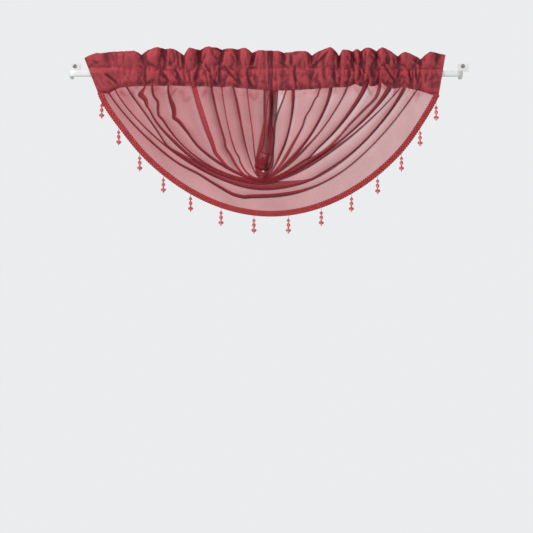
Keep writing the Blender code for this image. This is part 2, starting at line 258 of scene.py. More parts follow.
# Painted shade: how dark each fold's edge is, and how much the cloth beside it turns away from the
# light on its inner and its outer side. Below 0 the cloth there is made thinner instead, a painted
# highlight. Lit left is how far the lap of the left half catches the light, as painted light.
TONES = (
    # edge_left, edge_low, edge_right, inner_left, inner_low, inner_right,
    # outer_left, outer_right, lit_left
    (0.00, 0.00, 0.00, 0.00, 0.00, 0.00, 0.00, 0.00, 0.00),
    (0.25, 0.50, 0.25, 0.00, 0.00, 0.00, 0.00, 0.00, 0.00),
    (0.80, 1.00, 0.55, 0.00, 0.00, 0.10, 0.25, -0.30, 0.00),
    (0.45, 0.40, 0.95, 0.25, 0.00, 0.80, 0.15, -0.40, 0.80),
    (0.90, 0.20, 0.50, 0.15, 0.00, 0.20, 0.85, -0.10, 0.00),
    (0.55, 0.20, 1.00, 0.15, 0.00, 0.85, 0.25, -0.50, 0.80),
    (1.00, 0.30, 0.60, 0.00, 0.00, 0.30, 0.95, -0.20, 0.00),
    (0.40, 0.50, 1.00, 0.15, 0.00, 1.00, -0.40, -0.70, 0.75),
    (0.80, 0.30, 0.50, 0.80, 0.00, 0.25, -0.30, -0.10, 0.00),
    (0.70, 0.30, 1.00, 0.45, 0.00, 1.00, -0.30, -0.70, 0.00),
    (0.95, 1.00, 0.75, 0.40, 0.00, 0.30, -0.50, -0.40, 0.00),
    (0.60, 0.30, 0.90, 0.50, 0.00, 0.85, -0.40, 0.00, 0.00),
    (0.55, 0.90, 0.30, 0.20, 0.00, 0.00, -0.30, -0.50, 0.00),
    (0.95, 1.00, 0.60, 0.30, 0.80, 0.25, 0.10, -0.10, 0.00),
    (0.00, 0.00, 0.00, 0.00, 0.00, 0.00, 0.00, 0.00, 0.00),
)

# Places where a fold swings out of its smooth line: how far down its left or right half, the reach
# as a share of that half, and the way it moves
KINKS = (
    # fold, half, down, reach, sideways, up
    (1, -1, 0.85, 0.13, -24.0, 0.0),
    (1, -1, 0.94, 0.04, -10.0, 0.0),
    (2, -1, 0.83, 0.13, -26.0, 0.0),
    (2, -1, 0.95, 0.04, -5.0, -3.0),
    (3, -1, 0.91, 0.05, -5.0, -2.0),
    (3, -1, 0.51, 0.20, 3.0, 0.0),
    (5, -1, 0.67, 0.03, 3.0, 0.0),
    (6, -1, 0.55, 0.05, -4.0, -1.0),
    (7, -1, 0.79, 0.08, 3.0, 5.0),
    (7, -1, 0.55, 0.05, -3.0, -2.0),
    (8, -1, 0.23, 0.03, -7.0, -3.0),
    (8, -1, 0.37, 0.08, 3.0, 3.0),
    (9, -1, 0.11, 0.03, 6.0, 2.0),
    (9, -1, 0.19, 0.03, -4.0, -3.0),
    (10, -1, 0.05, 0.03, -18.0, -3.0),
    (10, -1, 0.11, 0.03, -4.0, -3.0),
    (10, -1, 0.39, 0.13, 3.0, 3.0),
    (11, -1, 0.41, 0.08, -5.0, -6.0),
    (11, -1, 0.17, 0.13, 4.0, 3.0),
    (13, -1, 0.85, 0.08, -2.0, -9.0),
    (13, -1, 0.63, 0.08, 2.0, 5.0),
    (13, -1, 0.895, 0.02, 0.0, -1.6),
    (1, 1, 0.49, 0.13, -5.0, 0.0),
    (2, 1, 0.35, 0.20, -9.0, 2.0),
    (2, 1, 0.83, 0.13, 9.0, -3.0),
    (4, 1, 0.29, 0.06, -3.0, 1.5),
    (4, 1, 0.07, 0.03, 2.0, -2.0),
    (7, 1, 0.63, 0.05, 2.0, -3.0),
    (8, 1, 0.09, 0.08, 7.0, -4.0),
    (8, 1, 0.33, 0.10, -3.0, 2.5),
    (8, 1, 0.55, 0.09, 2.0, -2.0),
    (11, 1, 0.75, 0.05, 1.0, -4.0),
    (14, -1, 0.20, 0.10, 3.5, 0.0),
    (14, 1, 0.13, 0.13, -5.5, 0.0),
)

# Short creases in the swag where it is drawn into the seam
PUCKERS = (
    # upper_x, upper_z, lower_x, lower_z, reach, strength
    (268, -30, 281, -59, 2.6, 0.8),
    (348, -38, 341, -59, 2.6, 0.8),
    (237, -36, 246, -52, 3.6, 0.6),
    (-238, -40, -253, -59, 3.0, 0.7),
    (-391, -48, -375, -60, 4.0, 0.6),
    (-307, -46, -284, -40, 7.0, 0.5),
    (-228, -42, -215, -78, 5.0, 0.4),
    (-202, -62, -215, -78, 5.0, 0.4),
    (-159, -40, -168, -62, 5.5, 0.5),
    (-43, -53, -32, -74, 5.0, 0.4),
    (-20, -50, -32, -74, 5.0, 0.4),
    (408, -50, 399, -76, 4.0, 0.3),
)

FORWARD = np.array([0.0, -1.0, 0.0])
FIELD_SIZE = 128
# How far edge-on the sheer look counts cloth at most, and how steep it counts it at least
LEAST_FACING = 0.25
LEAST_STEEP = 0.4


# Small helpers


def ease(low, high, value):
    """A smooth step from 0 at low to 1 at high."""
    share = np.clip((value - low) / (high - low), 0.0, 1.0)
    return share * share * (3 - 2 * share)


def mix(a, b, share):
    return a + (b - a) * share


def bell(distance, reach):
    """1 at no distance, and almost nothing at twice the reach."""
    return np.exp(-((distance / reach) ** 2))


def field(seed):
    """A smooth random surface from -1 to 1, about one bump a unit."""
    size = FIELD_SIZE
    grid = np.random.default_rng(seed).uniform(-1, 1, (size, size))

    def at(u, v):
        u, v = np.broadcast_arrays(np.asarray(u, float), np.asarray(v, float))
        i, j = np.floor(u).astype(int), np.floor(v).astype(int)
        a, b = ease(0, 1, u - i), ease(0, 1, v - j)
        near = mix(grid[i % size, j % size], grid[(i + 1) % size, j % size], a)
        far = mix(grid[i % size, (j + 1) % size], grid[(i + 1) % size, (j + 1) % size], a)
        return mix(near, far, b)

    return at


def arrays_of(table):
    """The columns of a table as arrays."""
    return [np.array(column, float) for column in zip(*table)]


def unit(directions):
    return directions / np.linalg.norm(directions, axis=-1, keepdims=True)


def tangents(line):
    return unit(np.gradient(line, axis=0))


def inwards(directions):
    """The way to the inner side of folds whose directions run from left to right."""
    return np.stack([-directions[..., 1], directions[..., 0]], axis=-1)


def beside(x, z, upper_x, upper_z, lower_x, lower_z):
    """Where points lie by a straight crease: how far along and off it, and the crease's length."""
    run_x, run_z = lower_x - upper_x, lower_z - upper_z
    length = math.hypot(run_x, run_z)
    along = ((x - upper_x) * run_x + (z - upper_z) * run_z) / length
    off = ((x - upper_x) * run_z - (z - upper_z) * run_x) / length
    return along, off, length


def running(points, axis=0):
    """Running length along one axis of a grid of points, or along a line of them."""
    first = np.take(points, [0], axis=axis)
    return np.cumsum(np.linalg.norm(np.diff(points, axis=axis, prepend=first), axis=-1), axis=axis)


def at_lengths(line, wanted):
    """Points at the wanted lengths along a line."""
    run = running(line)
    return np.stack([np.interp(wanted, run, column) for column in line.T], axis=1)


def smoothed(values, count):
    """A grid of values averaged over about count samples along each axis."""
    weights = bell(np.arange(-2 * count, 2 * count + 1), count)
    for axis in (0, 1):
        edges = [(2 * count, 2 * count) if a == axis else (0, 0) for a in (0, 1)]
        padded = np.pad(values, edges, mode="edge")
        values = np.apply_along_axis(np.convolve, axis, padded, weights / weights.sum(), mode="valid")
    return values


# Meshes


def linked(name, data):
    """A new object in the scene."""
    made = bpy.data.objects.new(name, data)
    bpy.context.scene.collection.objects.link(made)
    return made


def finish_piece(made, look, slot, *replaced):
    made.data.materials.append(look)
    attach(made, "root")
    if replaced:
        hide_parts(*replaced)
    return made


def new_object(name, points, faces, smooth=True):
    """A mesh object through points in millimetres."""
    mesh = bpy.data.meshes.new(name)
    mesh.from_pydata((np.asarray(points) * MM).tolist(), [], [list(face) for face in faces])
    mesh.validate()
    if smooth:
        mesh.shade_smooth()
    return linked(name, mesh)


def grid_faces(rows, columns, wrap=False):
    """Quads of a grid of points, its columns joined round if wrap."""
    j, i = np.meshgrid(np.arange(rows - 1), np.arange(columns if wrap else columns - 1), indexing="ij")
    after = (i + 1) % columns
    quads = (j * columns + i, j * columns + after, (j + 1) * columns + after, (j + 1) * columns + i)
    return np.stack([quad.ravel() for quad in quads], axis=1)


def closed_rings(points, rings, sides):
    """Points in rings of so many sides, with the faces between the rings and over both ends."""
    faces = [tuple(face) for face in grid_faces(rings, sides, wrap=True)]
    last = (rings - 1) * sides
    return points, faces + [tuple(range(sides))[::-1], tuple(range(last, last + sides))]


def tube(path, radius_across, radius_out, sides, across, out):
    """An elliptic tube along a path, from its two cross directions."""
    angle = np.arange(sides) * 2 * math.pi / sides
    ring = path[:, None, :] + radius_across * np.cos(angle)[None, :, None] * across[:, None, :]
    ring = ring + radius_out * np.sin(angle)[None, :, None] * out[:, None, :]
    return closed_rings(ring.reshape(-1, 3), len(path), sides)


def turned(profile, sides, place, twist=0.0):
    """A closed body turned about a vertical line through place, from (radius, down) rows."""
    angle = np.arange(sides) * 2 * math.pi / sides + twist
    rings = [
        np.stack([r * np.cos(angle), r * np.sin(angle), np.full(sides, -d)], axis=1) for r, d in profile
    ]
    points, faces = closed_rings(np.concatenate(rings) + place, len(profile), sides)
    return points, [face[::-1] for face in faces]


def joined(parts):
    """Several (points, faces) pairs as one."""
    points, faces, start = [], [], 0
    for some_points, some_faces in parts:
        points.append(some_points)
        faces.extend(tuple(int(i) + start for i in face) for face in some_faces)
        start += len(some_points)
    return np.concatenate(points), faces


def store(mesh, name, values):
    """Give each point of a mesh a number that its material reads."""
    layer = mesh.attributes.new(name, "FLOAT", "POINT")
    layer.data.foreach_set("value", np.asarray(values, np.float32).ravel())


def cloth_object(name, grid, shade, roll):
    """A single-layer sheet. It carries its flat-cloth coordinates in metres and its painted shade,
    which darkens its colour. Steep is how many layers' worth of threads lie in front of the light:
    more where the cloth turns away from the plane that it hangs in, and changed by roll, at a fold's
    edge for one, and made less for painted light on lit laps and painted highlights.
    """
    rows, columns, _ = grid.shape
    made = new_object(name, grid.reshape(-1, 3), grid_faces(rows, columns))
    mesh = made.data
    along, across = running(grid, 1), running(grid, 0)
    along -= along[:, columns // 2 : columns // 2 + 1]
    flat = np.stack([along, across], axis=2).reshape(-1, 2) * MM
    corner = np.empty(len(mesh.loops), np.int32)
    mesh.loops.foreach_get("vertex_index", corner)
    layer = mesh.uv_layers.new(name="cloth")
    layer.data.foreach_set("uv", flat[corner].astype(np.float32).ravel())
    normal = np.empty(len(mesh.vertices) * 3, np.float32)
    mesh.vertex_normals.foreach_get("vector", normal)
    facing = np.abs(normal.reshape(-1, 3)[:, 1])
    store(mesh, "shade", shade)
    store(mesh, "steep", np.maximum(1 / np.maximum(facing, LEAST_FACING) + roll.ravel(), LEAST_STEEP))
    return made


# Materials


class Look:
    """A material under construction: short calls that add nodes and link them."""

    def __init__(self, name, **values):
        self.material = bpy.data.materials.new(name)
        self.material.use_nodes = True
        self.tree = self.material.node_tree
        self.shader = self.tree.nodes["Principled BSDF"]
        for socket, value in values.items():
            self.give(socket.replace("_", " "), value)

    def feed(self, socket, value):
        """Link a node's output to a socket, or set the socket to a number or a colour."""
        if isinstance(value, bpy.types.NodeSocket):
            self.tree.links.new(value, socket)
        else:
            socket.default_value = (*value, 1.0) if socket.type == "RGBA" else value

    def give(self, name, value):
        self.feed(self.shader.inputs[name], value)

    def add(self, kind, *inputs, result=0, **values):
        """Add a node and return one output. Inputs are fed in their order. Of the values, those with
        a capital go to the sockets of that name, and the others set up the node.
        """
        made = self.tree.nodes.new(kind)
        for key, value in values.items():
            if key[0].isupper():
                self.feed(made.inputs[key], value)
            else:
                setattr(made, key, value)
        for socket, value in zip(made.inputs, inputs):
            self.feed(socket, value)
        return made.outputs[result]

    def math(self, operation, *inputs):
        return self.add("ShaderNodeMath", *inputs, operation=operation)

    def noise(self, place, scale, detail=2.0, roughness=0.5):
        sizes = dict(Scale=scale, Detail=detail, Roughness=roughness)
        return self.add("ShaderNodeTexNoise", result="Fac", Vector=place, **sizes)

    def stretched(self, place, sizes):
        return self.add("ShaderNodeMapping", result="Vector", Vector=place, Scale=sizes)

    def span(self, value, low, high, to_low=0.0, to_high=1.0):
        return self.add("ShaderNodeMapRange", value, low, high, to_low, to_high, result="Result")

    def product(self, value, *spans):
        """A value times several others, each of them mapped to a span first."""
        for span in spans:
            value = self.math("MULTIPLY", value, self.span(*span))
        return value

    def blend(self, share, first, second):
        colors = dict(data_type="RGBA", Factor=share, A=first, B=second)
        return self.add("ShaderNodeMix", result="Result", **colors)

    def mottled(self, noise, first, second):
        return self.blend(self.span(noise, 0.3, 0.7), first, second)

    def scaled(self, color, factor):
        sizes = dict(operation="SCALE", Vector=color, Scale=factor)
        return self.add("ShaderNodeVectorMath", result="Vector", **sizes)

    def bump(self, height, strength, distance):
        sizes = dict(Strength=strength, Distance=distance)
        self.give("Normal", self.add("ShaderNodeBump", result="Normal", Height=height, **sizes))

    def attribute(self, name):
        return self.add("ShaderNodeAttribute", result="Fac", attribute_name=name)

    def object_place(self):
        return self.add("ShaderNodeTexCoord", result="Object")


THREAD_PITCH = 0.00055
SLUB_SIZES = ((800.0, 150.0, 1.0), (150.0, 800.0, 1.0))


def voile_look(name, cover, lit, middle, deep):
    """Sheer plain-weave voile. Cover is how much of the light one flat layer stops, and the colours
    are those of threads in the light, in half shade and deep in a crease.
    """
    sheen = dict(Sheen_Weight=0.06, Sheen_Roughness=0.4, Sheen_Tint=(1.0, 0.55, 0.58))
    look = Look(name, Roughness=0.7, Specular_IOR_Level=0.14, **sheen)
    place = look.add("ShaderNodeUVMap", result="UV", uv_map="cloth")
    wander = look.span(look.noise(place, 160.0), 0.0, 1.0, -0.5, 0.5)
    threads = []
    for axis in ("X", "Y"):
        along = look.add("ShaderNodeSeparateXYZ", place, result=axis)
        turn = look.math("ADD", look.math("MULTIPLY", along, math.pi / THREAD_PITCH), wander)
        threads.append(look.math("ABSOLUTE", look.math("SINE", turn)))
    gap = look.math("MULTIPLY", *threads)
    slubs = look.math("ADD", *(look.noise(look.stretched(place, sizes), 1.0) for sizes in SLUB_SIZES))
    fine = look.noise(place, 430.0)
    cloudy = look.noise(place, 14.0, 3.0)
    thin = look.product(
        1 - cover,
        # value, low, high, to_low, to_high
        (gap, 0.0, 1.0, 0.80, 1.30),
        (slubs, 0.6, 1.4, 1.20, 0.80),
        (fine, 0.3, 0.7, 1.16, 0.84),
        (cloudy, 0.3, 0.7, 1.07, 0.93),
    )
    passed = look.math("POWER", thin, look.attribute("steep"))
    look.give("Alpha", look.math("SUBTRACT", 1.0, passed))
    # Painted shade: the mesh's shade turns the lit colour to half shade and then to deep shade
    shade = look.attribute("shade")
    base = look.blend(look.span(shade, 0.0, 0.4), lit, middle)
    base = look.blend(look.span(shade, 0.4, 1.0), base, deep)
    grain = look.product(
        1.0,
        (slubs, 0.7, 1.3, 0.72, 1.30),
        (fine, 0.3, 0.7, 0.82, 1.18),
        (cloudy, 0.3, 0.7, 1.08, 0.92),
    )
    look.give("Base Color", look.scaled(base, grain))
    look.bump(look.math("ADD", gap, slubs), 0.35, 0.0003)
    return look.material


def braid_look():
    """Lustrous rayon yarn, each strand with its own fine twist."""
    look = Look("braid_yarn", Sheen_Weight=0.3, Sheen_Roughness=0.35, Sheen_Tint=(1.0, 0.6, 0.6))
    place = look.object_place()
    twist = look.add("ShaderNodeTexWave", look.stretched(place, (1.0, 0.3, 1.2)), 900.0, 2.0)
    lint = look.noise(place, 1500.0)
    base = look.mottled(look.noise(place, 60.0), (0.72, 0.032, 0.040), (0.92, 0.060, 0.068))
    base = look.blend(look.span(lint, 0.5, 0.8, 0.0, 0.35), base, (0.62, 0.07, 0.085))
    # Painted shade from the mesh: dark where strands pass under, on the strands' sides and on the tape
    # behind
    base = look.blend(look.attribute("shade"), base, (0.07, 0.002, 0.005))
    look.give("Base Color", base)
    look.give("Roughness", look.span(lint, 0.2, 0.8, 0.35, 0.6))
    look.bump(look.math("ADD", look.math("MULTIPLY", lint, 0.6), twist), 0.4, 0.0003)
    return look.material


def bead_look():
    """Tinted clear acrylic with slight scuffs."""
    look = Look("bead_acrylic", Transmission_Weight=0.6, IOR=1.49)
    place = look.object_place()
    base = look.mottled(look.noise(place, 110.0), (0.86, 0.15, 0.17), (0.96, 0.28, 0.29))
    look.give("Base Color", base)
    scuff = look.noise(place, 1800.0, 3.0, 0.6)
    look.give("Roughness", look.span(scuff, 0.4, 0.7, 0.08, 0.3))
    look.bump(scuff, 0.08, 0.0002)
    return look.material


def thread_look(name, deep, lit):
    look = Look(name, Roughness=0.6, Sheen_Weight=0.3)
    twist = look.noise(look.stretched(look.object_place(), (1.0, 1.0, 3.0)), 1400.0)
    look.give("Base Color", look.mottled(twist, deep, lit))
    look.bump(twist, 0.4, 0.0002)
    return look.material


def enamel_look():
    """White baked enamel: faint orange peel, a little dust and some rubbed grey marks."""
    look = Look("white_baked_enamel", Coat_Weight=0.15, Coat_Roughness=0.2)
    place = look.object_place()
    dust = look.noise(place, 35.0, 4.0, 0.6)
    rub = look.noise(look.stretched(place, (8.0, 60.0, 90.0)), 1.0, 4.0, 0.7)
    base = look.blend(look.span(dust, 0.4, 0.75, 0.0, 0.5), (0.83, 0.83, 0.82), (0.74, 0.735, 0.72))
    look.give("Base Color", look.blend(look.span(rub, 0.62, 0.8, 0.0, 0.45), base, (0.52, 0.51, 0.50)))
    look.give("Roughness", look.span(rub, 0.3, 0.8, 0.24, 0.5))
    look.bump(look.noise(place, 900.0), 0.05, 0.0002)
    return look.material


def steel_look():
    look = Look("dull_zinc_steel", Metallic=1.0)
    grain = look.noise(look.object_place(), 500.0, 4.0, 0.6)
    look.give("Base Color", look.mottled(grain, (0.16, 0.155, 0.15), (0.42, 0.41, 0.40)))
    look.give("Roughness", look.span(grain, 0.3, 0.7, 0.3, 0.6))
    look.bump(grain, 0.15, 0.0001)
    return look.material


# Heading

seam_x, seam_z = arrays_of(SEAM)
wrinkle_x, wrinkle_size = arrays_of(WRINKLED)
top_noise, crease_sway = field(3), field(27)
long_wrinkles, fine_wrinkles, cross_wrinkles, slow_drift = field(21), field(22), field(23), field(24)

# The rod channel: over what height it opens from the seam and closes at the stitches, and over what
# height its swell does
CHANNEL_OPENS, CHANNEL_CLOSES = 13.0, 7.5
SWELL_OPENS, SWELL_CLOSES = 20.0, 16.0
# How far each layer stands from the middle between both: where they lie flat, round the rod, and
# at the fold along the top
FLAT_GAP = 0.7
ROD_GAP = ROD_DEPTH / 2 + SEAT + 0.4
TOP_GAP = 0.15
# The share of a gather's forward reach that shows at the seam and the stitch line
SEAM_SWAY = 0.35
# Painted shade: how dark the heading is in its creases and between its gathers, at the stitches, with
# how much that varies, and at the seam. Painted light: smooth cloth is lighter, and lighter again
# where the rod fills it.
CREASE_SHADE = 0.52
DIP_SHADE = 0.14
SEWN_SHADE = 0.30
SEWN_CHANGE = 0.22
SEAM_SHADE = 0.10
SMOOTH_LIGHT = 0.06
ROD_LIGHT = 0.12
FULL_WRINKLE = 1.6

HEADING_STEP = 1.9
CHANNEL_ROWS, FRILL_ROWS, BACK_ROWS = 30, 27, 16
# The heading's base painted shade, and painted shade in the hollows of its relief with a painted
# highlight on its rises, at three scales
HEADING_SHADE = 0.25
RECESSES = (
    # shade, samples, depth
    (0.33, 8, 1.6),
    (0.26, 3, 0.6),
    (0.08, 1, 0.16),
)

SEAM_STITCH_UP = 3.0
STITCH_SHARE = 0.72
STITCH_RISE = 0.35
STITCH_RADIUS = 0.28


def seam_height(x):
    """Height of the seam between heading and swag."""
    height = np.interp(x, seam_x, seam_z)
    for lift_x, lift, reach in SEAM_LIFTS:
        height = height + lift * bell(x - lift_x, reach)
    return height


def stitch_height(x):
    return STITCH_HEIGHT + STITCH_WAVE * np.sin(x / STITCH_WAVE_LENGTH)


def gather_table():
    """Dense tables of x, frill top and forward reach along the heading."""
    found = [(*HEADING_LEFT, 1.0)]
    for crest_x, crest_top, dip_x, dip_top, forward in GATHERS:
        found.append((crest_x, crest_top, forward))
        found.append((dip_x, dip_top, -0.6 * forward))
    found.append((*HEADING_RIGHT, 1.5))
    table = []
    for (x0, top0, out0), (x1, top1, out1) in zip(found, found[1:]):
        for share in np.arange(0, 1, 0.05):
            bend = share**DIP_SHARPNESS if out0 > out1 else 1 - (1 - share) ** DIP_SHARPNESS
            table.append((mix(x0, x1, share), mix(top0, top1, bend), mix(out0, out1, bend)))
    return arrays_of(table + [found[-1]])


gather_x, gather_top, gather_out = gather_table()


def frill_top(x):
    ends = ease(0, 40, x - HEADING_LEFT[0]) * ease(0, 50, HEADING_RIGHT[0] - x)
    wave = 1.6 * top_noise(x / 11, 0.5) + 0.8 * top_noise(x / 4.5, 7.5)
    return np.interp(x, gather_x, gather_top) + wave * mix(0.25, 1.0, ends)


def gather_reach(x):
    return np.interp(x, gather_x, gather_out)


def tapered(x, z, top):
    """The ends of the heading slant inwards from the frill to the seam."""
    fall = (top - z) / (top - seam_height(x))
    left = LEFT_TAPER * (1 - ease(0, TAPER_REACH, x - HEADING_LEFT[0]))
    right = RIGHT_TAPER * (1 - ease(0, TAPER_REACH, HEADING_RIGHT[0] - x))
    return x + (left - right) * fall


def crease_depth(x, z):
    """Depth of the front's creases at a point, and how far it lies inside one, which is used as painted
    shade, less a painted highlight on the ridge beside it.
    """
    depth, inside = np.zeros_like(x), np.zeros_like(x)
    for number, (*line, deep, reach) in enumerate(CREASES):
        along, off, length = beside(x, z, *line)
        off = (off + 1.6 * crease_sway(along / 13, number * 3.7)) * (-1) ** number
        ends = ease(-8, 9, along) * ease(-8, 9, length - along)
        groove = bell(off, np.where(off > 0, 0.42 * reach, 0.95 * reach)) * ends
        ridge = bell(off - 1.25 * reach, 0.75 * reach) * ends
        depth = depth + deep * (groove - 0.6 * ridge)
        strength = min(deep / 4.5, 1.0)
        inside = np.maximum(inside, groove * strength) - 0.3 * ridge * strength
    return depth, inside


def pleated(value):
    """Noise turned into rounded crests with sharp valleys between them."""
    return 2.2 * np.abs(value) ** 0.8 - 0.8


def wrinkles(x, z, seed):
    """Wrinkles that run down and aslant, strongest at the stitch line and at the seam, with puckers
    at the stitches.
    """
    stitch, seam = stitch_height(x), seam_height(x)
    near = np.exp(-np.abs(z - stitch) / 14) + 0.6 * np.exp(-np.abs(z - seam) / 14)
    lean = 16.0 * slow_drift(x / 42 + seed, z / 34)
    large = 1.9 * pleated(long_wrinkles((x + lean) / 15, z / 44 + seed))
    middling = pleated(fine_wrinkles((x - 0.7 * lean) / 8.5, z / 24 + seed))
    small = cross_wrinkles(x / 5.5 + seed, z / 7.0) + cross_wrinkles(x / 12 + 30, z / 9.0 + seed)
    pucker = pleated(fine_wrinkles(x / 6 + 50, z / 14 + seed)) * bell(z - stitch, 7)
    size = np.interp(x, wrinkle_x, wrinkle_size)
    return size * (large + middling * (0.5 + 0.8 * near)) + (0.15 + 0.2 * size) * small + 0.9 * pucker


def side_of_heading(x, share, front):
    """Points and shades of one layer, share 0 at the seam, 0.5 at the stitch line and 1 at the top."""
    top, stitch, seam = frill_top(x), stitch_height(x), seam_height(x)
    z = np.where(share < 0.5, mix(seam, stitch, share * 2), mix(stitch, top, share * 2 - 1))
    up, down = z - seam, stitch - z
    low = z < stitch
    channel = np.minimum(ease(0, CHANNEL_OPENS, up), ease(0, CHANNEL_CLOSES, down))
    rounded = np.minimum(ease(0, SWELL_OPENS, up), ease(0, SWELL_CLOSES, down))
    rise = np.clip((z - stitch) / (top - stitch), 0, 1)
    arch = np.sin(np.pi * rise)
    out = gather_reach(x)
    sway = np.where(low, SEAM_SWAY * (1 - 0.6 * channel), SEAM_SWAY + 0.75 * ease(0.0, 0.8, rise))
    swing = sway * np.maximum(-out if front else out, 0.0)
    if front:
        crease, inside = crease_depth(x, z)
        fine = wrinkles(x, z, 0.0)
        swell = 2.6 + 0.4 * np.maximum(out, 0) + fine - 0.6 * crease
        frill = 1.4 + 1.8 * arch + fine - 0.7 * crease
    else:
        inside = 0.0
        fine = wrinkles(x, z, 5.0)
        swell = 2.4 + 0.4 * np.maximum(-out, 0) + fine
        frill = 0.8 + 1.2 * arch + 0.7 * fine
    in_channel = mix(FLAT_GAP, ROD_GAP, channel) + channel**0.3 * swing
    in_channel = in_channel + mix(0.5 * np.maximum(frill, -0.2), np.maximum(swell, 0.0), rounded)
    in_frill = FLAT_GAP + mix(0.5, 1.0, ease(0.0, 0.25, rise)) * np.maximum(frill, -0.4)
    gap = mix(np.where(low, in_channel, in_frill), TOP_GAP, ease(0.92, 1.0, rise))
    y = -ROD_FORWARD - sway * out + (-gap if front else gap)
    # Painted shade in creases, in the dips between gathers, along the stitch line and near the seam,
    # and painted light on smooth cloth, most over the rod
    stitch_line_shade = SEWN_SHADE + SEWN_CHANGE * top_noise(x / 8, 20.5)
    smooth = 1 - np.clip(np.interp(x, wrinkle_x, wrinkle_size) / FULL_WRINKLE, 0, 1)
    shade = CREASE_SHADE * inside + DIP_SHADE * ease(2.0, -6.0, out) * rise
    shade = shade + stitch_line_shade * bell(z - stitch - 0.6, 2.0) + SEAM_SHADE * ease(26, 0, up)
    shade = shade - smooth * (SMOOTH_LIGHT + ROD_LIGHT * np.exp(-((z / 9.0) ** 4)))
    return np.stack([tapered(x, z, top), y, z], axis=-1), shade


def build_heading(look):
    """The doubled band, from the seam up the front, over the top and down the back."""
    x = np.arange(HEADING_LEFT[0], HEADING_RIGHT[0], HEADING_STEP)
    x[-1] = HEADING_RIGHT[0]
    up = np.concatenate([np.linspace(0, 0.5, CHANNEL_ROWS), np.linspace(0.5, 1, FRILL_ROWS)[1:]])
    down = np.concatenate([np.linspace(1, 0.5, BACK_ROWS)[1:], np.linspace(0.5, 0, BACK_ROWS)[1:]])
    shares = [(share, True) for share in up] + [(share, False) for share in down]
    rows = [side_of_heading(x, np.full_like(x, share), front) for share, front in shares]
    grid, shade = (np.array(part) for part in zip(*rows))
    # Painted shade in the relief's hollows and painted highlight on its rises, turned round for the
    # back
    relief = grid[:, :, 1] - grid[:, :, 1].mean(axis=1, keepdims=True)
    recess = np.zeros_like(relief)
    for dark, count, deep in RECESSES:
        recess += dark * np.tanh((relief - smoothed(relief, count)) / deep)
    recess[len(up) :] *= -1
    shade = np.clip(smoothed(HEADING_SHADE + shade + recess, 1), 0, 1)
    made = cloth_object("heading_voile", grid, shade, np.zeros_like(shade))
    return finish_piece(made, look, "voile", "heading")


def heading_front(x, z):
    """The front of the heading at a height, for the stitches that lie on it."""
    top, stitch, seam = frill_top(x), stitch_height(x), seam_height(x)
    low, high = (z - seam) / (stitch - seam) / 2, 0.5 + (z - stitch) / (top - stitch) / 2
    return side_of_heading(x, np.where(z < stitch, low, high), True)[0]


def build_stitches(look):
    """Lockstitches along the stitch line and just above the seam."""
    parts = []
    rows = (
        # stitch length, height
        (3.4, stitch_height),
        (3.8, lambda x: seam_height(x) + SEAM_STITCH_UP),
    )
    out = np.tile(FORWARD, (4, 1))
    for step, height in rows:
        x = np.arange(HEADING_LEFT[0] + 6, HEADING_RIGHT[0] - 6, step)
        for a, b in zip(*(heading_front(at, height(at)) for at in (x, x + STITCH_SHARE * step))):
            path = np.array([a, mix(a, b, 0.2), mix(a, b, 0.8), b])
            path[1:3] += STITCH_RISE * FORWARD
            side = np.tile(np.cross(unit(b - a), FORWARD), (4, 1))
            parts.append(tube(path, STITCH_RADIUS, STITCH_RADIUS, 4, side, out))
    return finish_piece(new_object("heading_stitches", *joined(parts)), look, "voile")


# Swag

HALF_POINTS = 400
ALONG = 300
PANEL_STEPS = (0.05, 0.13, 0.22, 0.32, 0.42, 0.52, 0.62, 0.71, 0.79, 0.86, 0.92, 0.97)
TUCK_STEPS = (
    # behind the edge in laps, deep in layers
    (0.00, 0.30),
    (0.12, 0.85),
    (0.50, 1.00),
    (0.88, 1.20),
    (1.00, 1.50),
    (0.88, 1.85),
    (0.45, 2.00),
    (0.02, 2.00),
)
NARROWEST = 0.7
SEAM_OVERLAP = 1.5
# Painted shade, and roll for how many layers' worth of threads show: at a fold's edge, on a lap, on
# cloth over a lap, where laps lie close, on cloth turned away from the light, as a painted highlight
# of thinner cloth beside some folds, in the slit, and as painted light on a lap in the light
EDGE_SHADE, EDGE_ROLL = 0.60, 1.6
LAP_SHADE = 0.30
COVERED_SHADE = 0.25
DENSE_LAP_SHADE, DENSE_SHADE = 0.15, 0.10
TURNED_SHADE, TURNED_ROLL = 0.50, 0.75
THINNED_HIGHLIGHT_ROLL = 0.45
SLIT_SHADE = 0.30
LIT_LAP_SHADE, LIT_COVERED_SHADE, LIT_ROLL = 0.30, 0.50, 0.45
# The same for the painted shade of the dark core in the middle and the lighter, clearer cloth
# beside it, the creases at the seam, the faint clouds below it, darker and more opaque cloth high at
# the left, and the thinner cloth at the right
CORE_SHADE, CORE_LIGHT, CORE_CLEAR = 0.58, 0.10, 0.60
CREASED_SHADE, CREASED_ROLL = 0.30, 1.1
CLOUD_SHADE, CLOUD_ROLL = 0.15, 0.45
DUSK_SHADE, DUSK_ROLL, RIGHT_CLEAR = 0.10, 0.26, 0.20

quarter = np.linspace(0, math.pi / 2, HALF_POINTS)
fold_sway, ripple, crumple, drawn, clouds = field(31), field(41), field(42), field(43), field(44)


def seam_middle(x):
    """How far forward the seam lies."""
    return -ROD_FORWARD - SEAM_SWAY * gather_reach(x)


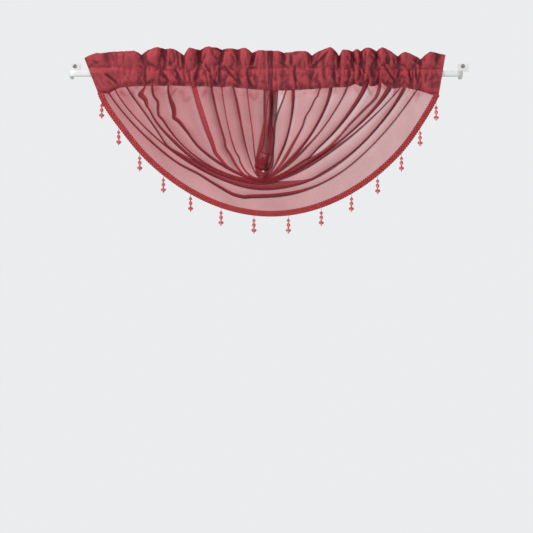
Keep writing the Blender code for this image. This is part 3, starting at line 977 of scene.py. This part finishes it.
def fold_half(fold, half):
    """One half of a fold's edge, from the seam to its lowest point, at even lengths along it."""
    row = FOLDS[fold]
    end_x, sink, lean = row[:3] if half < 0 else row[5:8]
    low_x, low_z = row[3:5]
    top = seam_height(end_x)
    x = mix(low_x, end_x, np.cos(quarter) ** lean)
    z = mix(top, low_z, np.sin(quarter) ** sink)
    line = np.stack([x, z], axis=1)
    down = np.linspace(0, 1, HALF_POINTS)
    x, z = at_lengths(line, down * running(line)[-1]).T
    hold = ease(0, 0.02, down) * ease(1, 0.97, down)
    for kinked, side, at, reach, sideways, up in KINKS:
        if (kinked, side) == (fold, half):
            bump = bell(down - at, reach) * hold
            x, z = x + sideways * bump, z + up * bump
    return down, x, z


def fold_points(fold, share):
    """A fold's edge as (x, z), share 0 where it leaves the seam at the left and 1 at the right."""
    points = []
    for half, along in ((-1, 2 * share), (1, 2 - 2 * share)):
        down, x, z = fold_half(fold, half)
        points.append(np.stack([np.interp(along, down, x), np.interp(along, down, z)], axis=-1))
    return np.where((share < 0.5)[:, None], *points)


def swag_layout():
    """Fold edges, the spaces between them and the laps."""
    share = np.linspace(0, 1, ALONG + 1)
    lines = np.array([fold_points(k, share) for k in range(len(FOLDS))])
    laps = np.array([np.interp(share, LAP_STATIONS, row[:6] + row[5:]) for row in LAPS], float)
    for k in range(len(FOLDS) - 2, -1, -1):
        inward = inwards(tangents(lines[k]))
        if k > 0:
            lines[k] += inward * (1.2 * fold_sway(share * 11, k * 1.7) * np.sin(np.pi * share))[:, None]
            laps[k] *= 1 + 0.25 * fold_sway(share * 6 + 40, k * 2.3)
        gap = np.sum((lines[k] - lines[k + 1]) * inward, axis=1)
        lines[k] += inward * np.maximum(NARROWEST - gap, 0)[:, None]
    directions = np.array([tangents(line) for line in lines])
    gaps = lines[1:] - lines[:-1]
    along = unit(directions[1:] + directions[:-1])
    pitch = np.linalg.norm(gaps - along * np.sum(gaps * along, axis=2, keepdims=True), axis=2)
    return share, lines, directions, pitch, laps


def fold_tones(share, from_seam):
    """Tones along each fold: the painted shade of its edge, the painted shade and highlight of the
    cloth on its inner and outer side, and the painted light of its lit lap.
    """

    def tones(pick):
        stations = (0, 0.30, 0.44, 0.56, 0.70, 1)
        return np.array([np.interp(share, stations, np.repeat(pick(row), 2)) for row in TONES])

    lit = np.array([row[8] * ease(0.5, 0.36, share) for row in TONES]) * ease(200, 60, from_seam)
    return (
        tones(lambda row: row[:3]),
        tones(lambda row: row[3:6]),
        tones(lambda row: (row[6], 0.0, row[7])),
        lit,
    )


def pucker_strength(x, z):
    """How strongly the swag is creased where it is drawn into the seam."""
    found = np.zeros_like(x)
    for *line, reach, strength in PUCKERS:
        along, off, length = beside(x, z, *line)
        ends = ease(-5, 5, along) * ease(-8, 8, length - along)
        found = np.maximum(found, strength * bell(off, reach) * ends)
    return found


def centre_shadow(x, z):
    """The darkest part of the painted shade of the gather in the middle, where both sides lap over each
    other.
    """
    middle = np.interp(z, (-262, -205, -150, -110, -45), (1, 3, 7, 15, 16))
    reach = np.interp(z, (-262, -200, -45), (7, 6, 6))
    return bell(x - middle, reach)


def swag_row(line, depth, ahead, shade, roll, centre=False):
    """Points, shade and roll along one row of the sheet. Depth is how far it lies behind the front
    of its fold, and ahead is how far that front stands out. Centre marks the rows beside the slit.
    """
    x, z = line[:, 0], line[:, 1].copy()
    z[[0, -1]] = seam_height(x[[0, -1]]) + SEAM_OVERLAP
    hang = np.abs(z - seam_height(x))
    creased = np.clip(1 - 3.5 * np.abs(drawn((x + 0.5 * hang * np.sign(x)) / 13, hang / 34)), 0, 1)
    creased = 0.5 * creased * bell(hang, 17) + pucker_strength(x, z)
    cloud = np.clip(clouds(x / 24, hang / 30), 0, 1) * np.exp(-hang / 30)
    y = depth - ahead - ROD_FORWARD - FOLD_DEPTH
    y = y + 1.5 * np.exp(-hang / 15) * crumple(x / 8.5, 0.5) + 0.7 * crumple(x / 24, z / 24)
    y = mix(seam_middle(x) + 0.25 * (depth - 1.2), y + 1.2 * creased, ease(0, 20, hang))
    # Beside the slit: painted shade of the dark core, and lighter, clearer cloth round it
    if centre:
        core = centre_shadow(x, z)
        shade, roll = shade - CORE_LIGHT + CORE_SHADE * core, roll - CORE_CLEAR * (1 - core)
    # Painted shade in the creases drawn into the seam; faint clouds below it; darker, more opaque cloth
    # high at the left; thinner cloth at the right
    dusk = ease(60, -60, x) * ease(-330, -150, z)
    shade = shade + CREASED_SHADE * creased + CLOUD_SHADE * cloud + DUSK_SHADE * dusk
    roll = roll + CREASED_ROLL * creased + CLOUD_ROLL * cloud
    roll = roll + DUSK_ROLL * dusk - RIGHT_CLEAR * ease(0, 260, x)
    return np.stack([x, y, z], axis=1), np.clip(shade, 0, 1), roll


def swag_rows():
    """All rows of the sheet, from the slit in the middle out to the hem. Each fold starts with its
    lap, tucked in behind its edge, and goes on as the cloth up to the next fold.
    """
    share, lines, directions, pitch, laps = swag_layout()
    from_seam = np.abs(lines[:, :, 1] - seam_height(lines[:, :, 0]))
    settle = ease(0, 22, from_seam)
    layer = mix(0.45, 1.5, ease(5, 20, pitch)) * mix(0.35, 1.0, settle[:-1])
    dense = ease(0.35, 0.95, laps[1:] / np.maximum(pitch, 0.5)) * settle[:-1]
    dense[-1] = 0
    ahead = np.tile(SWAG_BELLY * np.sin(np.pi * share), (len(FOLDS), 1))
    for k in range(len(FOLDS) - 2, -1, -1):
        ahead[k] = ahead[k + 1] + 2 * layer[k] * dense[k]
    edge_tone, inner_tone, outer_tone, lit = fold_tones(share, from_seam)
    for k, (line, onward) in enumerate(zip(lines, lines[1:] - lines[:-1])):
        inward = inwards(directions[k])
        rolled = EDGE_ROLL * mix(0.5, 1.0, settle[k])
        for behind, deep in TUCK_STEPS if k else TUCK_STEPS[:1]:
            # Painted shade on the lap and its rolled edge, and painted light on a lit lap
            edge = edge_tone[k] * (bell(behind, 0.25) + 0.4 * bell(behind - 1, 0.2))
            shade = LAP_SHADE - LIT_LAP_SHADE * lit[k] + DENSE_LAP_SHADE * dense[k] + EDGE_SHADE * edge
            roll = rolled * edge - LIT_ROLL * lit[k]
            tuck = line + inward * (behind * laps[k])[:, None]
            yield swag_row(tuck, deep * layer[k], ahead[k], shade, roll, k <= 1)
        lapped = laps[k + 1] > 0.5
        for step in PANEL_STEPS:
            room, away = (1 - step) * pitch[k], step * pitch[k]
            # Painted shade on cloth over a lap, at the next fold's edge, where it turns from the light,
            # where laps crowd and in the slit; painted light on lit laps
            covered = ease(1.15, 0.75, room / np.maximum(laps[k + 1], 0.3)) * lapped
            edge = bell(room, 1.6) * lapped * edge_tone[k + 1]
            turned_away = bell(room, 12) * inner_tone[k + 1]
            turned_away = turned_away + bell(away, 10) * np.maximum(outer_tone[k], 0)
            # Below 0 the outer tone thins the cloth, a painted highlight beside the fold
            stretched = bell(away - 4, 6) * np.minimum(outer_tone[k], 0) * settle[k]
            arch = math.sin(math.pi * step)
            depth = mix(2 * layer[k], ahead[k] - ahead[k + 1], ease(0, 1, step))
            wave = ripple(share * 7 + k * 3.1, step * 2.4) * arch
            depth = depth - np.minimum(0.07 * pitch[k], 2.2) * arch**0.8
            depth = depth - 0.05 * np.minimum(pitch[k], 28) * wave
            lit_here = lit[k + 1] * covered
            shade = COVERED_SHADE * covered - LIT_COVERED_SHADE * lit_here + EDGE_SHADE * edge
            shade = shade + DENSE_SHADE * dense[k] + TURNED_SHADE * turned_away + SLIT_SHADE * (k == 0)
            roll = rolled * edge + TURNED_ROLL * turned_away + THINNED_HIGHLIGHT_ROLL * stretched
            roll = roll - LIT_ROLL * lit_here
            yield swag_row(line + onward * step, depth, ahead[k], shade, roll, k <= 1)
    yield swag_row(lines[-1], 0.0, ahead[-1], 0.0, 0.0)


def build_swag(look):
    points, shades, rolls = (np.array(part) for part in zip(*swag_rows()))
    return finish_piece(cloth_object("swag_voile", points, shades, rolls), look, "voile", "swag_panel")


# Braid and bead drops

HEM_POINTS = 1601
PLAIT_STRANDS = 5
PLAIT_LENGTH = 34.0
PLAIT_STEP = 1.25
PLAIT_INSET = 1.0
PLAIT_OVERHANG = 1.5
PLAIT_RISE = 0.85
STRAND_SIZE = (1.95, 0.85)
STRAND_SIDES = 6
TAPE_BEHIND = 0.75
TAPE_INSET = 0.6
TAPE_THICK = 0.3
# Painted shade over the whole tape, which lies behind the plait
TAPE_SHADE = 0.9

# The bodies of a drop as (radius, down) rows, measured from below its knot
SMALL_BEAD = ((0.9, 9.0), (2.7, 10.8), (4.6, 13.2), (4.8, 14.1), (4.6, 15.0), (2.7, 17.4), (1.0, 19.4))
ROUND_BEAD = tuple(
    (max(4.9 * math.sin(turn), 0.9), 25.8 - 6.1 * math.cos(turn))
    for turn in np.linspace(0.2, math.pi - 0.2, 13)
)
SEED_BEAD = ((0.7, 31.6), (1.9, 32.1), (2.2, 33.0), (1.9, 33.9), (0.7, 34.4))
WIDE_BEAD = ((1.1, 34.2), (3.8, 35.4), (6.2, 37.3), (7.2, 39.6), (6.6, 41.8), (4.4, 43.8), (1.4, 45.4))
TIP_BEAD = ((0.8, 45.4), (1.7, 46.2), (1.5, 47.6), (0.5, 48.8))
DROP_PARTS = (
    # piece, profile, sides, twist
    ("cut_beads", SMALL_BEAD, 10, 1),
    ("cut_beads", WIDE_BEAD, 12, 2),
    ("round_beads", ROUND_BEAD, 20, 0),
    ("round_beads", SEED_BEAD, 14, 0),
    ("round_beads", TIP_BEAD, 14, 0),
    ("bead_threads", ((0.5, -4.3), (0.55, 0.0), (0.45, 4.0), (0.5, 9.6)), 8, 0),
    ("bead_threads", ((0.9, 7.8), (1.2, 8.4), (0.8, 9.1)), 8, 0),
    ("bead_threads", ((0.6, 18.5), (0.6, 20.8)), 8, 0),
    ("bead_threads", ((1.3, -3.2), (1.5, -2.2), (1.1, -0.9), (0.5, -0.2)), 8, 0),
)
# How far each drop hangs above its place on the hem, and how far to the right of it
DROP_RISES = (6, 5, 1, 0, 0, 0, 0, 0, 0, 0, 0, 1, 7, 7)
DROP_SHIFTS = (-1.3, -4.0, -0.6, 1.2, 1.2, 1.2, 1.2, 1.2, 1.2, 1.2, 1.2, 1.7, 4.7, 5.7)
DROP_SEED = 11
DROP_BELOW = 1.8
DROP_TILT = 0.02


def hem_line(inset):
    """Points along the hem, moved inwards from it in the plane of the cloth."""
    share = np.linspace(0, 1, HEM_POINTS)
    line = fold_points(len(FOLDS) - 1, share)
    moved = line + inwards(tangents(line)) * inset
    forward = ROD_FORWARD + FOLD_DEPTH + VOILE / 2 + SEAT + BRAID_THICK / 2
    face = SWAG_BELLY * np.sin(np.pi * share) + forward
    return np.stack([moved[:, 0], -face, moved[:, 1]], axis=1)


def build_braid(look):
    """The flat plait and the tape behind it."""
    middle = hem_line(BRAID_WIDTH / 2 - PLAIT_INSET - PLAIT_OVERHANG)
    total = running(middle)[-1]
    run = np.linspace(0, total, int(total / PLAIT_STEP))
    centre = at_lengths(middle, run)
    out = np.tile(FORWARD, (len(centre), 1))
    sideways = unit(np.cross(tangents(centre), out))
    half = BRAID_WIDTH / 2 - 1.5 + PLAIT_OVERHANG
    around = np.arange(STRAND_SIDES) * 2 * math.pi / STRAND_SIDES
    parts, shades = [], []
    for strand in range(PLAIT_STRANDS):
        turn = run / PLAIT_LENGTH + strand / PLAIT_STRANDS
        angle = 2 * math.pi * turn
        across = half * (2 / math.pi) * np.arcsin(0.97 * np.sin(angle)) / 0.90
        over = np.tanh(4 * np.cos(angle)) * np.cos(PLAIT_STRANDS * (angle - math.pi / 2))
        path = centre + sideways * across[:, None] + out * PLAIT_RISE * over[:, None]
        parts.append(tube(path, *STRAND_SIZE, STRAND_SIDES, unit(np.cross(tangents(path), out)), out))
        # Painted shade where a strand passes under the others and on the sides of each strand
        under = 1.15 * ease(0.75, -0.35, over) * (1 - 0.45 * (across / half) ** 2)
        shades.append(under[:, None] + 0.6 * np.abs(np.cos(around)) ** 3)
    made = new_object("plaited_braid", *joined(parts))
    store(made.data, "shade", np.clip(shades, 0, 1))
    behind = centre - out * TAPE_BEHIND
    tape = new_object("braid_backing", *tube(behind, half - TAPE_INSET, TAPE_THICK, 8, sideways, out))
    store(tape.data, "shade", np.full(len(tape.data.vertices), TAPE_SHADE))
    finish_piece(tape, look, "braid")
    return finish_piece(made, look, "braid", "braid_fringe"), tape


def build_drops(bead, thread):
    """The bead drops on their threads, hanging from the braid's lower edge."""
    rng = np.random.default_rng(DROP_SEED)
    places = at_lengths(hem_line(-1.0), FIRST_DROP + np.cumsum((0,) + DROP_STEPS))
    places += np.stack([DROP_SHIFTS, np.zeros(len(places)), np.array(DROP_RISES) - DROP_BELOW], axis=1)
    made = {"cut_beads": [], "round_beads": [], "bead_threads": []}
    for place in places:
        twist = rng.uniform(0, 1)
        tilt = np.array([*rng.uniform(-DROP_TILT, DROP_TILT, 2), 0.0])
        for piece, profile, sides, twisted in DROP_PARTS:
            points, faces = turned(profile, sides, place, twist * twisted)
            made[piece].append((points + (points[:, 2:] - place[2]) * tilt, faces))
    for piece, parts in made.items():
        drops = new_object(piece, *joined(parts), smooth=piece != "cut_beads")
        finish_piece(drops, thread if piece == "bead_threads" else bead, "braid")


# Rod and fixings

ROD_CORNER_STEPS = 14
ROD_STEPS = 25
ROD_STRAIGHT = 480.0
# The rod's rolled section: a crowned face whose edges curl back to two lips with a slot between them
ROD_SECTION = (
    # outward, up
    (-3.1, 2.6),
    (-3.7, 3.0),
    (-4.0, 3.9),
    (-4.0, 6.3),
    (-3.3, 7.8),
    (-1.8, 8.4),
    (0.8, 8.5),
    (2.6, 8.0),
    (3.6, 6.6),
    (3.9, 3.6),
    (4.0, 0.0),
)
ROD_SECTION_INSET = 0.35
ROD_SECTION_HEIGHT = 0.96
ROD_WALL = 0.6

SCREW_SIDES = 32
SCREW_RIM = ((5.2, 0.0), (5.2, -0.7))
SCREW_SLOT = (5.4, 1.1, 3.0)
SCREW_SLOT_UP = 3.1
SCREW_TURN = 22.0


def rod_path():
    """The rod's centre line in plan, from wall to wall, with rounded corners."""
    end_y = -PLATE_THICK - SEAT
    middle = ROD_HALF_LENGTH - ROD_DEPTH / 2
    bend_y = ROD_BEND - ROD_FORWARD
    path = [(-middle, end_y), (-middle, end_y - 12), (-middle, bend_y + 4)]
    for side, first in ((-1, 180), (1, 270)):
        for step in range(ROD_CORNER_STEPS + 1):
            angle = math.radians(first + 90 * step / ROD_CORNER_STEPS)
            centre_x = side * (middle - ROD_BEND)
            path.append((centre_x + ROD_BEND * math.cos(angle), bend_y + ROD_BEND * math.sin(angle)))
        if side == -1:
            path += [(x, -ROD_FORWARD) for x in np.linspace(-ROD_STRAIGHT, ROD_STRAIGHT, ROD_STEPS)]
    path += [(middle, bend_y + 4), (middle, end_y - 12), (middle, end_y)]
    return np.array([(x, y, 0.0) for x, y in path])


def build_rod(look):
    path = rod_path()
    along = tangents(path)
    outward = np.stack([along[:, 1], -along[:, 0], np.zeros(len(path))], axis=1)
    half = [(o - ROD_SECTION_INSET * np.sign(o), u * ROD_SECTION_HEIGHT) for o, u in ROD_SECTION]
    section = np.array(half + [(o, -u) for o, u in half[-2::-1]])
    grid = path[:, None, :] + outward[:, None, :] * section[None, :, :1]
    grid[:, :, 2] += section[:, 1]
    made = new_object("curtain_rod", grid.reshape(-1, 3), grid_faces(*grid.shape[:2]))
    solid = made.modifiers.new("Wall", "SOLIDIFY")
    solid.thickness = ROD_WALL * MM
    solid.offset = 0.0
    return finish_piece(made, look, "enamel", "rod")


def build_screw(node, name, side, look):
    """A round screw head with a cross slot, on the wall plate."""
    crown = [(5.1 * math.cos(turn), -0.8 - 2.0 * math.sin(turn)) for turn in np.linspace(0.15, 1.45, 9)]
    head = new_object(name, *turned([*SCREW_RIM, *crown], SCREW_SIDES, np.zeros(3)))
    long, wide, high = SCREW_SLOT
    bm = bmesh.new()
    for size in ((long, wide, high), (wide, long, high)):
        made = bmesh.ops.create_cube(bm, size=1.0)["verts"]
        bmesh.ops.scale(bm, vec=Vector(size) * MM, verts=made)
        bmesh.ops.translate(bm, vec=(0, 0, SCREW_SLOT_UP * MM), verts=made)
    mesh = bpy.data.meshes.new(name + "_slot")
    bm.to_mesh(mesh)
    bm.free()
    cutter = linked(name + "_slot", mesh)
    cut = head.modifiers.new("Slot", "BOOLEAN")
    cut.object = cutter
    cut.operation = "DIFFERENCE"
    cut.use_self = True
    evaluated = head.evaluated_get(bpy.context.evaluated_depsgraph_get())
    head.data = bpy.data.meshes.new_from_object(evaluated)
    head.modifiers.clear()
    bpy.data.objects.remove(cutter)
    head.rotation_euler = (math.radians(90), math.radians(SCREW_TURN * side), 0)
    x = side * (ROD_HALF_LENGTH - ROD_DEPTH / 2) + SCREW_RIGHTWARD
    head.location = Vector((x, -PLATE_THICK - SEAT, SCREW_HEIGHT)) * MM
    return finish_piece(head, look, "steel", node)


# Stage

LIGHTS = (
    # name, place, target, size, power
    ("key", (-2.3, -1.5, 1.6), (0, 0, -0.15), 0.9, 66),
    ("fill", (0.8, -3.0, 0.6), (0, 0, -0.2), 2.0, 24),
    ("back", (0.6, 1.9, 0.9), (0, 0, -0.2), 1.5, 14),
)
BACKDROP = (0.83, 0.84, 0.85, 1.0)
SKY = (0.97, 0.98, 1.0, 1.0)
SKY_STRENGTH = 0.42
FLOOR_RADIUS = 1400.0
FLOOR_SIDES = 64
FLOOR_HEIGHT = -1.7


def build_lights():
    for name, place, target, size, power in LIGHTS:
        light = bpy.data.lights.new(name, "AREA")
        light.shape = "DISK"
        light.size = size
        light.energy = power
        made = linked(name, light)
        made.location = place
        made.rotation_euler = (Vector(target) - Vector(place)).to_track_quat("-Z", "Y").to_euler()


def build_world():
    """A soft even light, behind which the backdrop shows in a shade of its own."""
    world = bpy.data.worlds.new("studio")
    bpy.context.scene.world = world
    world.use_nodes = True
    nodes, links = world.node_tree.nodes, world.node_tree.links
    seen, soft = nodes["Background"], nodes.new("ShaderNodeBackground")
    seen.inputs["Color"].default_value = BACKDROP
    soft.inputs["Color"].default_value = SKY
    soft.inputs["Strength"].default_value = SKY_STRENGTH
    choose = nodes.new("ShaderNodeMixShader")
    links.new(nodes.new("ShaderNodeLightPath").outputs["Is Camera Ray"], choose.inputs[0])
    links.new(soft.outputs[0], choose.inputs[1])
    links.new(seen.outputs[0], choose.inputs[2])
    links.new(choose.outputs[0], nodes["World Output"].inputs["Surface"])


def build_floor():
    """A plain pale floor that fades out towards its rim."""
    look = Look("pale_floor", Roughness=0.8, Emission_Strength=0.35, Emission_Color=(0.82, 0.83, 0.84))
    place = look.object_place()
    base = look.mottled(look.noise(place, 2.0), (0.80, 0.81, 0.82), (0.84, 0.845, 0.85))
    look.give("Base Color", base)
    far = look.add("ShaderNodeVectorMath", place, result="Value", operation="LENGTH")
    look.give("Alpha", look.span(far, 0.5, 1.35, 1.0, 0.0))
    turn = np.arange(FLOOR_SIDES) * 2 * math.pi / FLOOR_SIDES
    rim = FLOOR_RADIUS * np.stack([np.cos(turn), np.sin(turn), np.zeros(FLOOR_SIDES)], axis=1)
    floor = new_object("floor", rim, [tuple(range(FLOOR_SIDES))], smooth=False)
    floor.location = (0, 0, FLOOR_HEIGHT)
    floor.data.materials.append(look.material)


def build_camera():
    data = bpy.data.cameras.new("camera")
    data.sensor_width = SENSOR
    data.lens = SENSOR * VIEW_DISTANCE / VIEW_WIDTH
    made = linked("camera", data)
    made.location = (VIEW_X, CLOTH_PLANE - VIEW_DISTANCE, VIEW_Z)
    made.rotation_euler = (math.radians(90), 0, 0)
    bpy.context.scene.camera = made


build_camera()
bpy.context.scene.view_settings.view_transform = "Standard"
build_world()
build_lights()
build_floor()

enamel, steel = enamel_look(), steel_look()
# Thread colours in the light, in painted half shade and in painted deep shade
heading_lit_and_shaded = (0.47, 0.050, 0.066), (0.29, 0.020, 0.034), (0.105, 0.006, 0.013)
swag_lit_and_shaded = (0.51, 0.044, 0.057), (0.35, 0.030, 0.043), (0.11, 0.007, 0.013)
heading = build_heading(voile_look("heading_cloth", 0.84, *heading_lit_and_shaded))
swag = build_swag(voile_look("swag_cloth", 0.67, *swag_lit_and_shaded))
build_stitches(thread_look("seam_thread", (0.13, 0.008, 0.016), (0.30, 0.03, 0.045)))
braid, tape = build_braid(braid_look())
build_drops(bead_look(), thread_look("bead_thread", (0.42, 0.03, 0.05), (0.62, 0.10, 0.13)))
rod = build_rod(enamel)
for word, side in (("left", -1), ("right", 1)):
    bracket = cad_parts["bracket_" + word]
    for slot in bracket.material_slots:
        slot.material = enamel
    build_screw("screw_" + word, "screw_head_" + word, side, steel)

bpy.context.view_layer.update()
